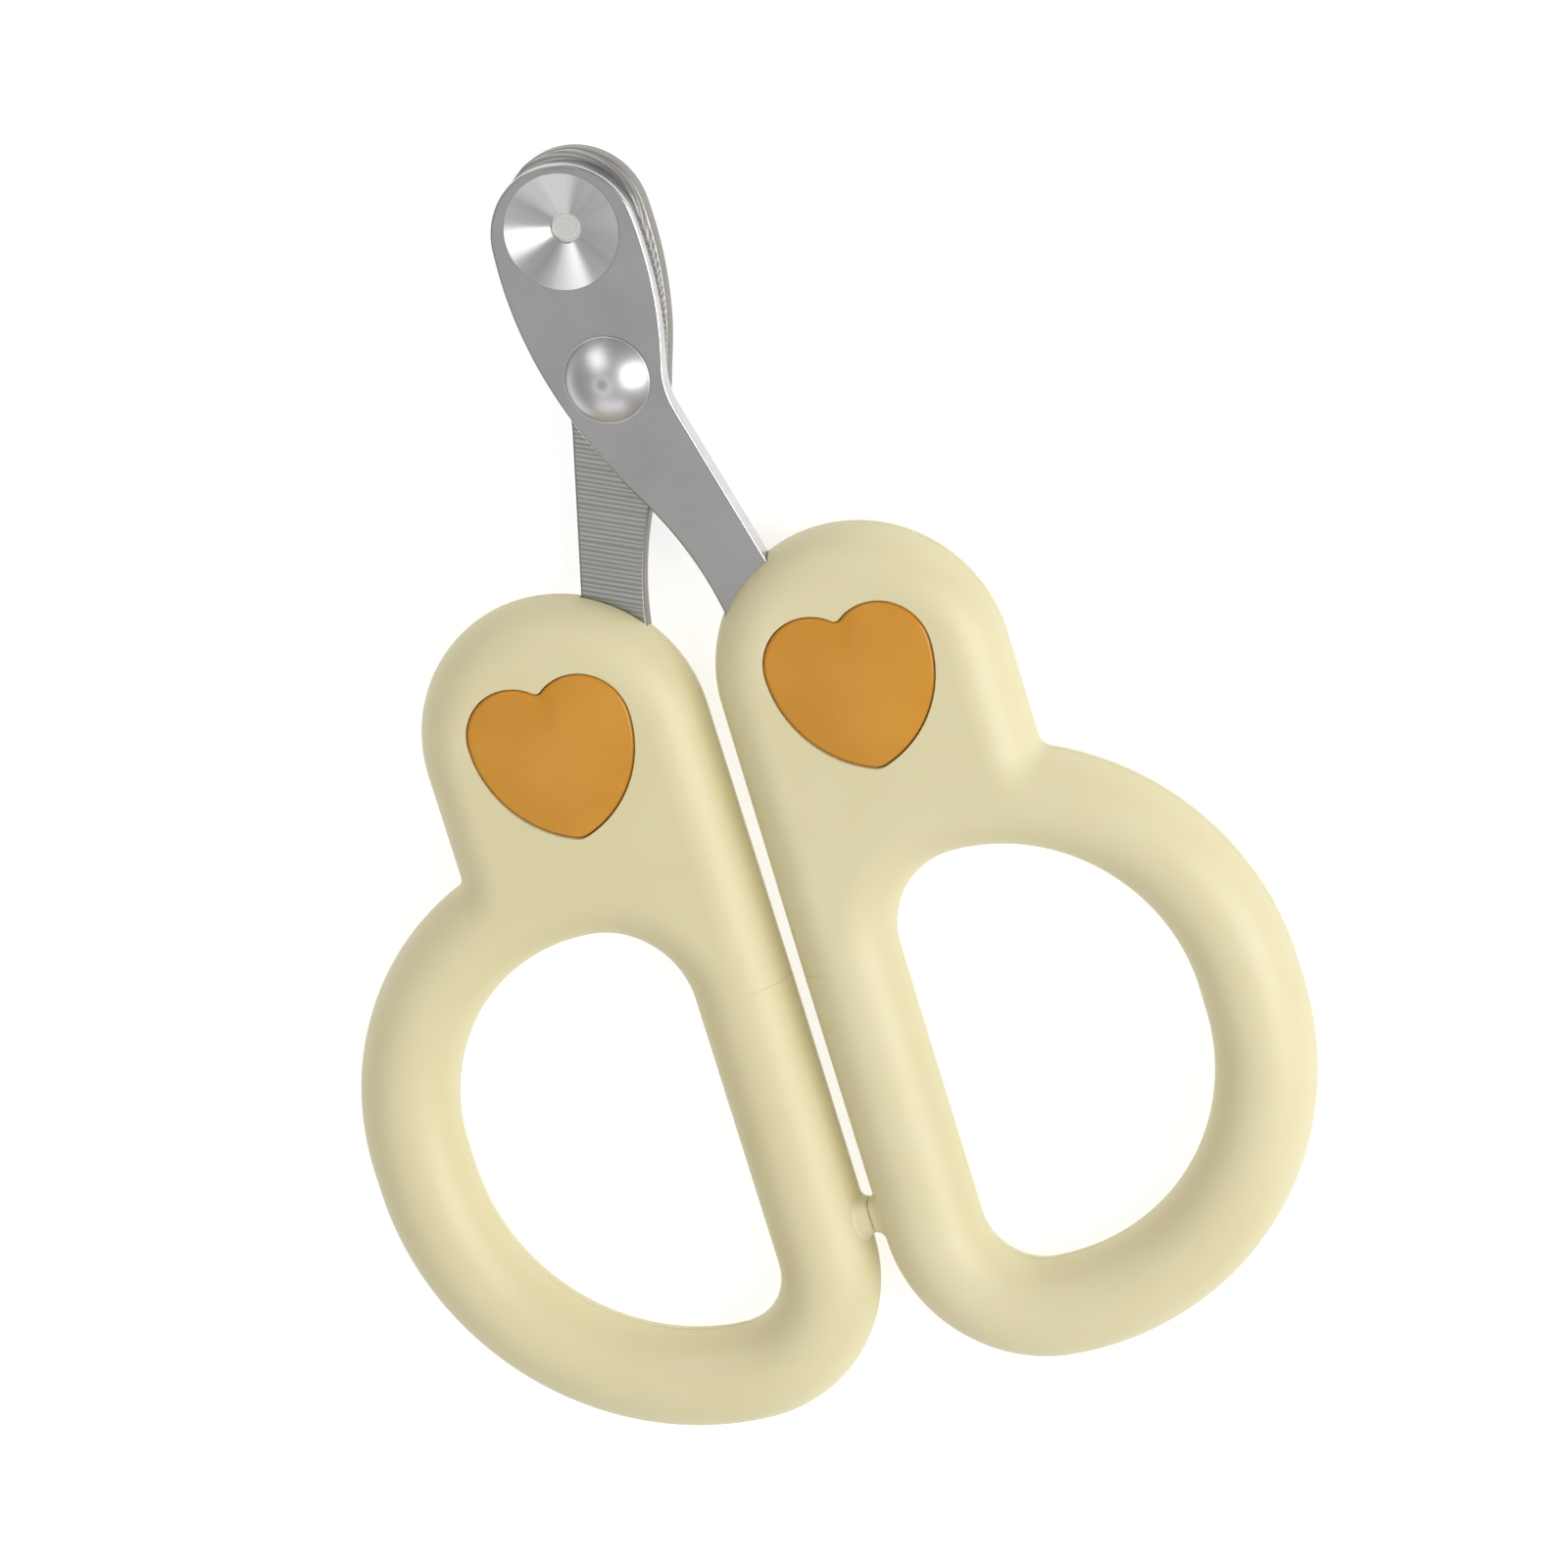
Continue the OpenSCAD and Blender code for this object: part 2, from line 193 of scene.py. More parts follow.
def mouldedCream():
    # satin moulded ABS: soft broad shine, a very faint flow mottle and a fine spark-eroded grain
    h = handles
    mat, tree, shader = newMaterial("satinCreamAbs")
    where = add(tree, "ShaderNodeTexCoord").outputs["Object"]
    flow = add(tree, "ShaderNodeTexNoise", Vector=where, Scale=1 / (14.286 * mm), Detail=3.0)
    tint = add(tree, "ShaderNodeValToRGB", {"stops": ((0.3, h["colourDeep"]), (0.7, h["colour"]))}, Fac=flow)
    rough = add(tree, "ShaderNodeMapRange", Value=flow, To_Min=0.46, To_Max=0.54)
    # the grain is about 0.1 mm; drawn coarser so that it shows
    grain = add(tree, "ShaderNodeTexNoise", Vector=where, Scale=1 / (0.3846 * mm), Detail=2.0)
    bump = add(tree, "ShaderNodeBump", Height=grain, Strength=0.05, Distance=0.05 * mm)
    feed(tree, shader, Base_Color=tint, Roughness=rough, Normal=bump, Specular_IOR_Level=0.8, IOR=1.5,
         Subsurface_Weight=0.08, Subsurface_Scale=1.2 * mm, Subsurface_Radius=(1.0, 0.75, 0.4))
    return mat


def mouldedAmber():
    # smoother moulded ABS: warmer and a little glossier than the handles
    k = hearts
    mat, tree, shader = newMaterial("amberAbs")
    where = add(tree, "ShaderNodeTexCoord").outputs["Object"]
    flow = add(tree, "ShaderNodeTexNoise", Vector=where, Scale=1 / (6.25 * mm), Detail=3.0)
    tint = add(tree, "ShaderNodeValToRGB", {"stops": ((0.3, k["colourDeep"]), (0.7, k["colour"]))}, Fac=flow)
    # the grain is about 0.1 mm; drawn coarser so that it shows
    grain = add(tree, "ShaderNodeTexNoise", Vector=where, Scale=1 / (0.5556 * mm), Detail=2.0)
    bump = add(tree, "ShaderNodeBump", Height=grain, Strength=0.06, Distance=0.05 * mm)
    feed(tree, shader, Base_Color=tint, Roughness=0.33, Normal=bump, IOR=1.5,
         Subsurface_Weight=0.08, Subsurface_Scale=0.8 * mm)
    return mat


def blastedSteel():
    # stainless sheet, satin blasted: even grey with a faint cloudiness
    b = frontBlade
    mat, tree, shader = newMaterial("satinStainless")
    where = add(tree, "ShaderNodeTexCoord").outputs["Object"]
    cloud = add(tree, "ShaderNodeTexNoise", Vector=where, Scale=1 / (4.348 * mm), Detail=4.0)
    stops = (0.25, b["colourDeep"]), (0.75, b["colour"])
    tint = add(tree, "ShaderNodeValToRGB", {"stops": stops}, Fac=cloud)
    rough = add(tree, "ShaderNodeMapRange", Value=cloud, To_Min=0.33, To_Max=0.43)
    # the blasting's pits are under 0.1 mm; drawn coarser so that they show
    pits = add(tree, "ShaderNodeTexNoise", Vector=where, Scale=1 / (0.1923 * mm), Detail=2.0)
    bump = add(tree, "ShaderNodeBump", Height=pits, Strength=0.12, Distance=0.02 * mm)
    feed(tree, shader, Metallic=1.0, Base_Color=tint, Roughness=rough, Normal=bump)
    return mat


def groundSteel():
    # stainless sheet, surface ground: fine even scratches across the arm, and round the head
    q = rearBlade
    mat, tree, shader = newMaterial("groundStainless")
    where = add(tree, "ShaderNodeTexCoord").outputs["Object"]
    # grit scratches are 0.05 mm apart; drawn wider apart so that they show
    apart, run = q["grindApart"] * mm, q["grindRun"] * mm
    across = add(tree, "ShaderNodeMapping", {"vector_type": "TEXTURE"}, Vector=where,
                 Rotation=(0, 0, math.radians(q["grindLean"])), Scale=(run, apart, run))
    _, radius = fromAxis(tree, where, q["headY"])
    ringCount = add(tree, "ShaderNodeMath", {"operation": "DIVIDE"}, i0=radius, i1=apart)
    rings = add(tree, "ShaderNodeCombineXYZ", Y=ringCount)
    part = add(tree, "ShaderNodeSeparateXYZ", Vector=where)
    ringsFrom = (pivot[1] + q["ringsFrom"]) * mm
    head = add(tree, "ShaderNodeMath", {"operation": "GREATER_THAN"}, i0=part.outputs["Y"], i1=ringsFrom)
    place = add(tree, "ShaderNodeMix", {"data_type": "VECTOR"}, i0=head, i4=across, i5=rings).outputs[1]
    # 0.5 + 0.5 sin(2 pi y + 5 drift), where y counts the scratches
    drift = add(tree, "ShaderNodeTexNoise", Vector=place, Scale=0.9, Detail=2.0)
    count = add(tree, "ShaderNodeSeparateXYZ", Vector=place).outputs["Y"]
    phase = add(tree, "ShaderNodeMath", {"operation": "MULTIPLY"}, i0=count, i1=2 * math.pi)
    wander = add(tree, "ShaderNodeMath", {"operation": "MULTIPLY_ADD"}, i0=drift, i1=5.0, i2=phase)
    wave = add(tree, "ShaderNodeMath", {"operation": "SINE"}, i0=wander)
    lines = add(tree, "ShaderNodeMath", {"operation": "MULTIPLY_ADD"}, i0=wave, i1=0.5, i2=0.5)
    arm = add(tree, "ShaderNodeValToRGB", {"stops": q["armStops"]}, Fac=lines)
    rim = add(tree, "ShaderNodeValToRGB", {"stops": q["rimStops"]}, Fac=lines)
    tint = add(tree, "ShaderNodeMix", {"data_type": "RGBA"}, i0=head, i6=arm, i7=rim).outputs[2]
    # painted light: the front face is drawn brighter where it closes the claw hole
    _, reach = fromAxis(tree, where, frontBlade["clawY"])
    full, fades = (frontBlade["claw"] + q["holeLightFull"]) * mm, (frontBlade["claw"] + q["holeLightFades"]) * mm
    spot = add(tree, "ShaderNodeMapRange", Value=reach, From_Min=fades, From_Max=full)
    middle = (q["bottom"] + 1) * mm
    front = add(tree, "ShaderNodeMath", {"operation": "GREATER_THAN"}, i0=part.outputs["Z"], i1=middle)
    paintedHoleLight = add(tree, "ShaderNodeMath", {"operation": "MULTIPLY"}, i0=spot, i1=front)
    colour = add(tree, "ShaderNodeMix", {"data_type": "RGBA"}, i0=paintedHoleLight, i6=tint, i7=linear(q["paintedHoleLight"]))
    rough = add(tree, "ShaderNodeMapRange", Value=lines, To_Min=0.41, To_Max=0.31)
    bump = add(tree, "ShaderNodeBump", Height=lines, Strength=0.12, Distance=0.04 * mm)
    feed(tree, shader, Metallic=1.0, Base_Color=colour.outputs[2], Roughness=rough, Normal=bump)
    return mat


def brightSteel(name, dark, light, roughness):
    # polished stainless is a near mirror with faint handling haze; a sheared edge is greyer and duller
    mat, tree, shader = newMaterial(name)
    where = add(tree, "ShaderNodeTexCoord").outputs["Object"]
    haze = add(tree, "ShaderNodeTexNoise", Vector=where, Scale=1 / (2.381 * mm), Detail=4.0)
    tint = add(tree, "ShaderNodeValToRGB", {"stops": ((0.2, dark), (0.8, light))}, Fac=haze)
    rough = add(tree, "ShaderNodeMapRange", Value=haze, To_Min=roughness * 0.8, To_Max=roughness * 1.3)
    feed(tree, shader, Metallic=1.0, Base_Color=tint, Roughness=rough)
    return mat


def turnedSteel():
    # countersink cut on a lathe: the rings round the hole spread each light into a soft bright sector
    mat, tree, shader = newMaterial("turnedStainless")
    where = add(tree, "ShaderNodeTexCoord").outputs["Object"]
    flat, _ = fromAxis(tree, where, frontBlade["clawY"])
    outward = add(tree, "ShaderNodeVectorMath", {"operation": "NORMALIZE"}, i0=flat)
    toWorld = {"vector_type": "VECTOR", "convert_from": "OBJECT", "convert_to": "WORLD"}
    tangent = add(tree, "ShaderNodeVectorTransform", toWorld, i0=outward)
    # painted reflection: a few broad lighter and darker sectors round the hole, no finer than 15 degrees
    paintedSectors = add(tree, "ShaderNodeTexNoise", Vector=outward, Scale=2.2, Detail=1.0)
    tint = add(tree, "ShaderNodeValToRGB", {"stops": ((0.3, "#cbc9ca"), (0.7, "#e6e5e5"))}, Fac=paintedSectors)
    feed(tree, shader, Metallic=1.0, Base_Color=tint, Roughness=0.35, Anisotropic=0.9, Tangent=tangent)
    return mat


def pressedSteel():
    # cold-headed and tumbled rivet head: pearly, with painted shade darkening the punch's dimple
    v = rivet
    mat, tree, shader = newMaterial("tumbledStainless")
    where = add(tree, "ShaderNodeTexCoord").outputs["Object"]
    _, radius = fromAxis(tree, where, 0)
    share = add(tree, "ShaderNodeMath", {"operation": "DIVIDE"}, i0=radius, i1=v["dome"] * mm)
    # painted shade: colourDeep at the middle darkens the dimple
    tint = add(tree, "ShaderNodeValToRGB", {"stops": ((0.06, v["colourDeep"]), (0.2, v["colour"]))}, Fac=share)
    haze = add(tree, "ShaderNodeTexNoise", Vector=where, Scale=1 / (2.0 * mm), Detail=3.0)
    rough = add(tree, "ShaderNodeMapRange", Value=haze, To_Min=0.34, To_Max=0.42)
    feed(tree, shader, Metallic=1.0, Base_Color=tint, Roughness=rough)
    return mat


def platedSteel():
    # zinc-plated screw steel, hidden under the hearts: even pale grey
    mat, tree, shader = newMaterial("zincPlatedSteel")
    where = add(tree, "ShaderNodeTexCoord").outputs["Object"]
    haze = add(tree, "ShaderNodeTexNoise", Vector=where, Scale=1 / (1.111 * mm), Detail=3.0)
    tint = add(tree, "ShaderNodeValToRGB", {"stops": ((0.3, "#9c9ea0"), (0.7, "#b9bbbd"))}, Fac=haze)
    feed(tree, shader, Metallic=1.0, Base_Color=tint, Roughness=0.36)
    return mat


camera = {
    "lookAt": (3.13, -1.02, 3.5),    # mm in the part's frame
    "tilt": 21.4,                   # degrees off straight down
    "towards": 36.5,                # degrees round from +X
    "roll": -17.2,                  # degrees round the line of sight
    "distance": 490, "nearest": 10,
    "lens": 159.8, "sensor": 36,
}


def addCamera():
    # looks back along out, with its own x to the right and y up in the picture
    tilt, way = math.radians(camera["tilt"]), math.radians(camera["towards"])
    out = Vector((math.sin(tilt) * math.cos(way), math.sin(tilt) * math.sin(way), math.cos(tilt)))
    up = (Vector((0, 1, 0)) - out * out.y).normalized()
    right = up.cross(out)
    r = math.radians(camera["roll"])
    x, y = right * math.cos(r) + up * math.sin(r), up * math.cos(r) - right * math.sin(r)
    data = bpy.data.cameras.new("camera")
    data.lens, data.sensor_width = camera["lens"], camera["sensor"]
    data.clip_start = camera["nearest"] * mm
    cam = bpy.data.objects.new("camera", data)
    bpy.context.scene.collection.objects.link(cam)
    cam.matrix_world = Matrix.Translation(Vector(camera["lookAt"]) * mm + out * camera["distance"] * mm) @ \
        Matrix((x, y, out)).transposed().to_4x4()
    bpy.context.scene.camera = cam


addCamera()
print("camera set")


handles = {
    "colour": "#dad1a9", "colourDeep": "#d4ca9d",
    "halfWide": 3.6,            # half the tube's width
    "halfThick": 3.5,           # half the handle's thickness
    "legX": 4.15,
    "innerBottom": (11.95, -65.3, 7.8),      # centre and radius of the tube's centreline
    "outerBottom": (12.35, -53.9, 19.2),
    "outerTop": (14.35, -52.2, 17.2),
    "innerTop": (13.95, -44.8, 9.8),
    "padCentre": (11.25, -24.5),
    "padRight": 18.25,
    "crotch": 1.0,              # fillet between pad and loop
    "groove": 0.11,             # how far the shells' edges draw back at the parting line
    "steps": 12,
    "nubY": -63.5, "nubLong": 2.6, "nubHigh": 2.3, "nubGap": 0.04,
    "nubPower": 0.6,            # superellipse, squarer than round
    "seatGap": 0.06,            # air round the blade's tang
}


def handlePaths():
    # the tube's centreline in three stretches: the loop, over the hole's top, and round the pad
    h = handles
    (ibx, iby, ibr), (obx, oby, obr) = h["innerBottom"], h["outerBottom"]
    (otx, oty, otr), (itx, ity, itr) = h["outerTop"], h["innerTop"]
    w, f = h["halfWide"], h["crotch"]
    outerX = h["padRight"] + w + f
    rise = math.degrees(math.acos((outerX - otx) / (otr + w + f)))
    filletY = oty + (otr + w + f) * math.sin(math.radians(rise))
    px, py = h["padCentre"]
    padR = h["padRight"] - px
    loop = joinRuns(lineRun((h["legX"], ity), (h["legX"], iby)),
                    arcRun((ibx, iby), ibr, 180, 270),
                    lineRun((ibx, iby - ibr), (obx, iby - ibr)),
                    arcRun((obx, oby), obr, 270, 360),
                    lineRun((obx + obr, oby), (obx + obr, oty)),
                    arcRun((otx, oty), otr, 0, rise))
    holeTop = joinRuns(arcRun((otx, oty), otr, rise, 90),
                       lineRun((otx, ity + itr), (itx, ity + itr)),
                       arcRun((itx, ity), itr, 90, 180))
    pad = joinRuns(arcRun((outerX, filletY), f + w, rise + 180, 180, inward=True),
                   lineRun((h["padRight"], filletY), (h["padRight"], py)),
                   arcRun((px, py), padR, 0, 180),
                   lineRun((px - padR, py), (h["legX"], ity)))
    return loop, holeTop, pad


def edgeBand(run, side, front):
    # quarter of an ellipse carried along the run: out w cos t, up h sin t, drawn back at the parting face
    h = handles
    t = np.linspace(0, math.pi / 2, h["steps"] + 1)[:, None]
    out, up = h["halfWide"] * np.cos(t), h["halfThick"] * np.sin(t)
    points, normals = run
    lip = np.array([[h["halfWide"] - h["groove"]]])
    out, up = np.vstack([lip, out[:1], out[1:]]), np.vstack([[[0]], [[h["groove"]]], up[1:]])
    xy = points[None] + side * out[:, :, None] * normals[None]
    z = np.broadcast_to(midZ + front * up, xy.shape[:2])
    return np.dstack([xy, z])


def nubGrid(front):
    # half a rounded block between the loops, flaring wide and high as it runs into the tube
    # x of each section across it, and how far it has flared there
    h = handles
    x = np.array([h["nubGap"] / 2, h["nubGap"] / 2 + 0.12, 0.3, 0.45, 0.56, 0.68, 0.8, 0.95, 1.1, 1.7])
    wider = np.array([-0.12, 0, 0.03, 0.12, 0.27, 0.42, 0.5, 0.5, 0.45, 0.3])
    higher = np.array([-0.12, 0, 0.02, 0.07, 0.15, 0.27, 0.4, 0.57, 0.68, 0.7])
    a = np.linspace(0, math.pi, 33)[None]
    c, s = np.cos(a), np.sin(a)
    y = h["nubY"] + (h["nubLong"] / 2 + wider[:, None]) * np.sign(c) * np.abs(c) ** h["nubPower"]
    z = midZ + front * (h["nubHigh"] / 2 + higher[:, None]) * np.abs(s) ** h["nubPower"]
    return np.dstack([np.broadcast_to(x[:, None], y.shape), y, z])


def heartRun(grow=0.0, step=0.12):
    # two lobes, a soft notch, two long flanks and a round tip, as arcs that meet smoothly
    k = hearts
    lobe, tip, flank = k["lobeR"], k["tipR"], k["flankR"]
    notch = k["notchR"]
    lobeX, tipY = k["wide"] / 2 - lobe, k["high"] - lobe - tip
    notchY = math.sqrt((lobe + notch) ** 2 - lobeX ** 2)
    lean = math.degrees(math.atan2(notchY, -lobeX))
    drop = math.degrees(math.atan2(-tipY, flank - k["wide"] / 2))
    right = [arcRun((0, notchY), notch, 270, lean + 180, step, inward=True),
             arcRun((lobeX, 0), lobe, lean, 0, step),
             arcRun((k["wide"] / 2 - flank, 0), flank, 0, drop, step),
             arcRun((0, -tipY), tip, drop, -90, step)]
    p, n = joinRuns(*right)
    p = np.vstack([p, (p[::-1] * [-1, 1])[1:-1]])[::-1]
    n = np.vstack([n, (n[::-1] * [-1, 1])[1:-1]])[::-1]
    return p + grow * n + [handles["padCentre"][0], handles["padCentre"][1] + k["lobeUp"]], n


hearts = {
    "colour": "#cc8f27", "colourDeep": "#c4851c",
    "wide": 12.2, "high": 11.6, "lobeR": 3.6, "tipR": 1.4, "flankR": 8.384, "notchR": 0.55, "lobeUp": 1.6,
    "bottom": 5.7, "top": 7.35,
    "gap": 0.07, "lip": 0.1,    # the clearance round the plug, and the rounding of the recess's edge
    "round": 0.3,               # radius of the plug's edge
    "crown": 0.42,              # how far its middle stands above its edge
    "middleDown": 0.4,          # the crown's peak below the pad's centre
}


def skin(name, rings, mirrored, merge=weld):
    # closed rings stacked upwards, with a cap at each end
    return meshFrom(name, [(np.stack(rings), True)], [rings[0][::-1], rings[-1]], mirrored, merge)


def recessCutter(mirrored):
    # the plug's outline with its clearance, flared at the top for the moulded lip
    k, top = hearts, midZ + handles["halfThick"]
    gap, lip = k["gap"], k["lip"]
    levels = [(k["bottom"], gap), (top - lip, gap), (top - lip * 0.3, gap + lip * 0.3), (top, gap + lip),
              (top + 1, gap + lip)]
    return skin("recessCutter", [height(heartRun(grow)[0], z) for z, grow in levels], mirrored)


def shell(name, front, seat, mirrored):
    # edge bands round the loop, its hole and the pad; the pad's flat; and the parting face
    loop, holeTop, pad = handlePaths()
    sharedOuter, sharedInner = edgeBand(loop, 1, front), edgeBand(loop, -1, front)
    overHole, roundPad = edgeBand(holeTop, -1, front), edgeBand(pad, 1, front)
    flat = np.vstack([overHole[-1][:-1], roundPad[-1][::-1][:-1]])
    under = np.vstack([overHole[0], roundPad[0][::-1]])
    across = np.stack([sharedInner[0], sharedOuter[0]])
    bands = [(band, False) for band in (sharedOuter, sharedInner, overHole, roundPad, across)]
    obj = meshFrom(name, bands, [flat, under], mirrored=mirrored)
    nub = nubGrid(front)
    nubEnds = [nub[0], nub[-1], np.vstack([nub[:, 0], nub[::-1, -1]])]
    block = meshFrom(name + "Nub", [(nub, False)], nubEnds, mirrored=mirrored)
    air = handles["seatGap"]
    tang, levels = armOutline(air), (seat - air, seat + frontBlade["thick"] + air)
    cutters = [skin("seatCutter", [height(tang, z) for z in levels], mirrored)]
    if front > 0:
        cutters.append(recessCutter(mirrored))
    cutWith(obj, *cutters)
    bm = bmesh.new()
    bm.from_mesh(obj.data)
    bm.from_mesh(block.data)
    bm.to_mesh(obj.data)
    bm.free()
    bpy.data.objects.remove(block)
    return smooth(obj)


frontBlade = {
    "colour": "#aaa9a7", "colourDeep": "#9c9b9a",
    "thick": 1.5, "bottom": 3.515,
    "rim": 0.2,                 # how far the polished edge is rounded
    "headY": 10.3, "clawY": 10.8, "claw": 1.1, "sink": 4.15, "land": 0.25,
    "sinkBreak": 0.04, "sinkFlare": 0.06,    # the countersink's broken edge
    "neck": 8.3, "headWide": 10.7, "wideY": 8.3, "neckR": 6, "outerA": 14.7, "steepA": 31, "innerA": 6,
    "roundR": 38, "hollowR": 26, "paddle": 3.6, "endY": -17.4,
}
rearBlade = {
    # shades across a scratch, and the painted light where it closes the claw hole
    "armStops": ((0.0, "#8c8d89"), (0.55, "#9c9d99"), (1.0, "#a6a7a3")),
    "rimStops": ((0.0, "#9b9a96"), (0.55, "#adaca8"), (1.0, "#bab9b5")),
    # the colour of the painted light where the plate closes the claw hole
    "paintedHoleLight": "#d3d2cd",
    "bottom": 1.985, "headY": 11.05,
    "lean": 3.4,                # degrees that the head leans past the front one
    "leanFrom": -3, "leanOver": 6,           # where the lean starts, and how far it takes to build up
    "edgeR": 9, "edgeBack": 2.6, "bevel": 1.6,
    "grindLean": -23,           # degrees round from +X that the scratches run
    "grindApart": 0.33, "grindRun": 16,
    "ringsFrom": -1,            # above here they run round the head
    "holeLightFull": 0.05, "holeLightFades": 0.3,        # past the claw hole's edge
}


def turn(deg):
    a = math.radians(deg)
    return np.array([math.cos(a), math.sin(a)])


def armRuns():
    # inner side downwards, round the paddle inside the handle, and outer side upwards
    b = frontBlade
    side = (b["headWide"] - b["neck"]) / 2
    sideR = (b["wideY"] ** 2 + side ** 2) / (2 * side)
    neckA = math.degrees(math.asin(b["wideY"] / sideR))
    half = b["neck"] / 2
    neckC = np.array([half, 0]) + b["neckR"] * turn(-neckA)
    roundC = np.array([-half, 0]) + b["roundR"] * turn(neckA)
    hollowC = roundC - (b["roundR"] + b["hollowR"]) * turn(b["steepA"])
    inner = joinRuns(arcRun(roundC, b["roundR"], 180 + neckA, 180 + b["steepA"], inward=True),
                     arcRun(hollowC, b["hollowR"], b["steepA"], b["innerA"]))
    start = neckC - b["neckR"] * turn(b["outerA"])
    drop = start[1] - b["endY"]
    end = start + [drop * math.tan(math.radians(b["outerA"])), -drop]
    neckArc = arcRun(neckC, b["neckR"], 180 + b["outerA"], 180 - neckA, inward=True)
    outer = joinRuns(lineRun(end, start), neckArc)
    centre = np.array(handles["padCentre"])
    d = centre / np.linalg.norm(centre)
    a = math.degrees(math.atan2(d[0], -d[1]))
    paddle = arcRun(centre, b["paddle"], a - 180, a)
    return inner, paddle, outer, sideR, neckA


def armOutline(grow=0.0):
    ring = np.vstack([points for points, n in armRuns()[:3]])
    return ring + grow * ringNormals(ring)


def ringNormals(ring):
    # the way from each point's neighbour to the next, turned right
    d = np.roll(ring, -1, 0) - np.roll(ring, 1, 0)
    n = np.column_stack([d[:, 1], -d[:, 0]])
    return n / np.linalg.norm(n, axis=1, keepdims=True)


def bladeOutline(headY, lean=0.0):
    # round head on two long side arcs, then the arm; the head leans over, fading out below the pivot
    b, q = frontBlade, rearBlade
    inner, paddle, outer, sideR, neckA = armRuns()
    sideX = sideR - b["headWide"] / 2
    endR = sideR - math.hypot(sideX, headY - b["wideY"])
    a = math.degrees(math.atan2(headY - b["wideY"], sideX))
    head = np.vstack([arcRun((-sideX, b["wideY"]), sideR, -neckA, a)[0][:-1],
                      arcRun((0, headY), endR, a, 180 - a, 0.2)[0][:-1],
                      arcRun((sideX, b["wideY"]), sideR, 180 - a, 180 + neckA)[0][:-1]])
    ring = np.vstack([head, inner[0], paddle[0], outer[0][:-1]])
    fade = np.clip((ring[:, 1] - q["leanFrom"]) / q["leanOver"], 0, 1)
    angle = np.radians(lean) * fade * fade * (3 - 2 * fade)
    return np.column_stack([ring[:, 0] * np.cos(angle) - ring[:, 1] * np.sin(angle),
                            ring[:, 0] * np.sin(angle) + ring[:, 1] * np.cos(angle)])


def plate(name, ring, low, thick, rim, mirrored=False):
    # side wall with a quarter-round of radius rim at both faces
    t = np.linspace(0, math.pi / 2, 4)
    back = np.concatenate([rim * (1 - np.sin(t)), rim * (1 - np.cos(t))])
    up = np.concatenate([rim * (1 - np.cos(t)), thick - rim + rim * np.sin(t)])
    n = ringNormals(ring)
    return skin(name, [height(ring - s * n, low + z) for s, z in zip(back, up)], mirrored, fineWeld)


def lathe(name, profile, centre, segments=96):
    # (r cos a, r sin a, z) for each profile point (r, z), closed where r is nought
    a = np.linspace(0, 2 * math.pi, segments, endpoint=False)[None]
    r, z = np.asarray(profile, float).T[:, :, None]
    x, y = centre[0] + r * np.cos(a), centre[1] + r * np.sin(a)
    grid = np.dstack([x, y, np.broadcast_to(z, x.shape)])
    return meshFrom(name, [(grid, True)])


def onEdge(normals):
    # walls, rounded rims and bevels: every face that doesn't look straight up or down
    return np.abs(normals[:, 2]) < 0.93


def markFaces(obj, material, chosen):
    # chosen(centres in mm from the pivot, normals) picks the faces that take the material
    obj.data.materials.append(material)
    count = len(obj.data.polygons)
    centres, normals = np.zeros(count * 3), np.zeros(count * 3)
    obj.data.polygons.foreach_get("center", centres)
    obj.data.polygons.foreach_get("normal", normals)
    index = np.zeros(count, np.int32)
    obj.data.polygons.foreach_get("material_index", index)
    picked = chosen(centres.reshape(-1, 3) / mm - [0, pivot[1], 0], normals.reshape(-1, 3))
    index[picked] = len(obj.data.materials) - 1
    obj.data.polygons.foreach_set("material_index", index)


rivet = {
    # colourDeep is the painted shade in the dimple
    "colour": "#d3d1d3", "colourDeep": "#a9a7a8",
    "dome": 3.1, "high": 1.5, "domeZ": 5.045,
    "footIn": 0.1, "footUp": 0.06,           # the dome's foot is turned in and rounded
    "dimple": 0.035, "dimpleR": 0.4,
    "shank": 1.5, "play": 0.03,
    "tailZ": 1.585, "tail": 2.3, "tailHigh": 1.0, "tailTaper": 0.55,
    "washer": 3.3, "washerThick": 0.4, "washerEdge": 0.08,
}

cream, amber = mouldedCream(), mouldedAmber()
satin, ground, turned = blastedSteel(), groundSteel(), turnedSteel()
polished = brightSteel("polishedStainless", "#c3c1c4", "#dcdadc", 0.2)
sheared = brightSteel("shearedStainless", "#87847f", "#a19e99", 0.45)
tumbled, plated = pressedSteel(), platedSteel()


for side, mirrored, seat in (("right", False, frontBlade["bottom"]), ("left", True, rearBlade["bottom"])):
    for part, front in (("front", 1), ("back", -1)):
        obj = shell(f"{side}{part.title()}Handle", front, seat, mirrored)
        obj.data.materials.append(cream)
        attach(obj, f"{side}_half")
        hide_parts(f"{side}_{part}_shell")
print("handles made")


def heartPlug(name, mirrored):
    # rings in from the outline: rounded edge, then a slightly crowned face closing on its middle
    k = hearts
    ring, n = heartRun()
    edge, shoulder = k["round"], k["top"] - k["crown"]
    rows = [height(ring, k["bottom"])]
    for s in np.linspace(0, math.pi / 2, 6):
        rows.append(height(ring - edge * (1 - math.cos(s)) * n, shoulder - edge * (1 - math.sin(s))))
    inner = ring - edge * n
    middle = np.array(handles["padCentre"]) - [0, k["middleDown"]]
    # the crown is top - crown s^2, with s from 1 at the edge to 0 in the middle
    for s in np.linspace(0.9, 0, 10):
        rows.append(height(middle + s * (inner - middle), k["top"] - k["crown"] * s * s))
    return smooth(meshFrom(name, [(np.stack(rows), True)], [rows[0][::-1]], mirrored), 40)


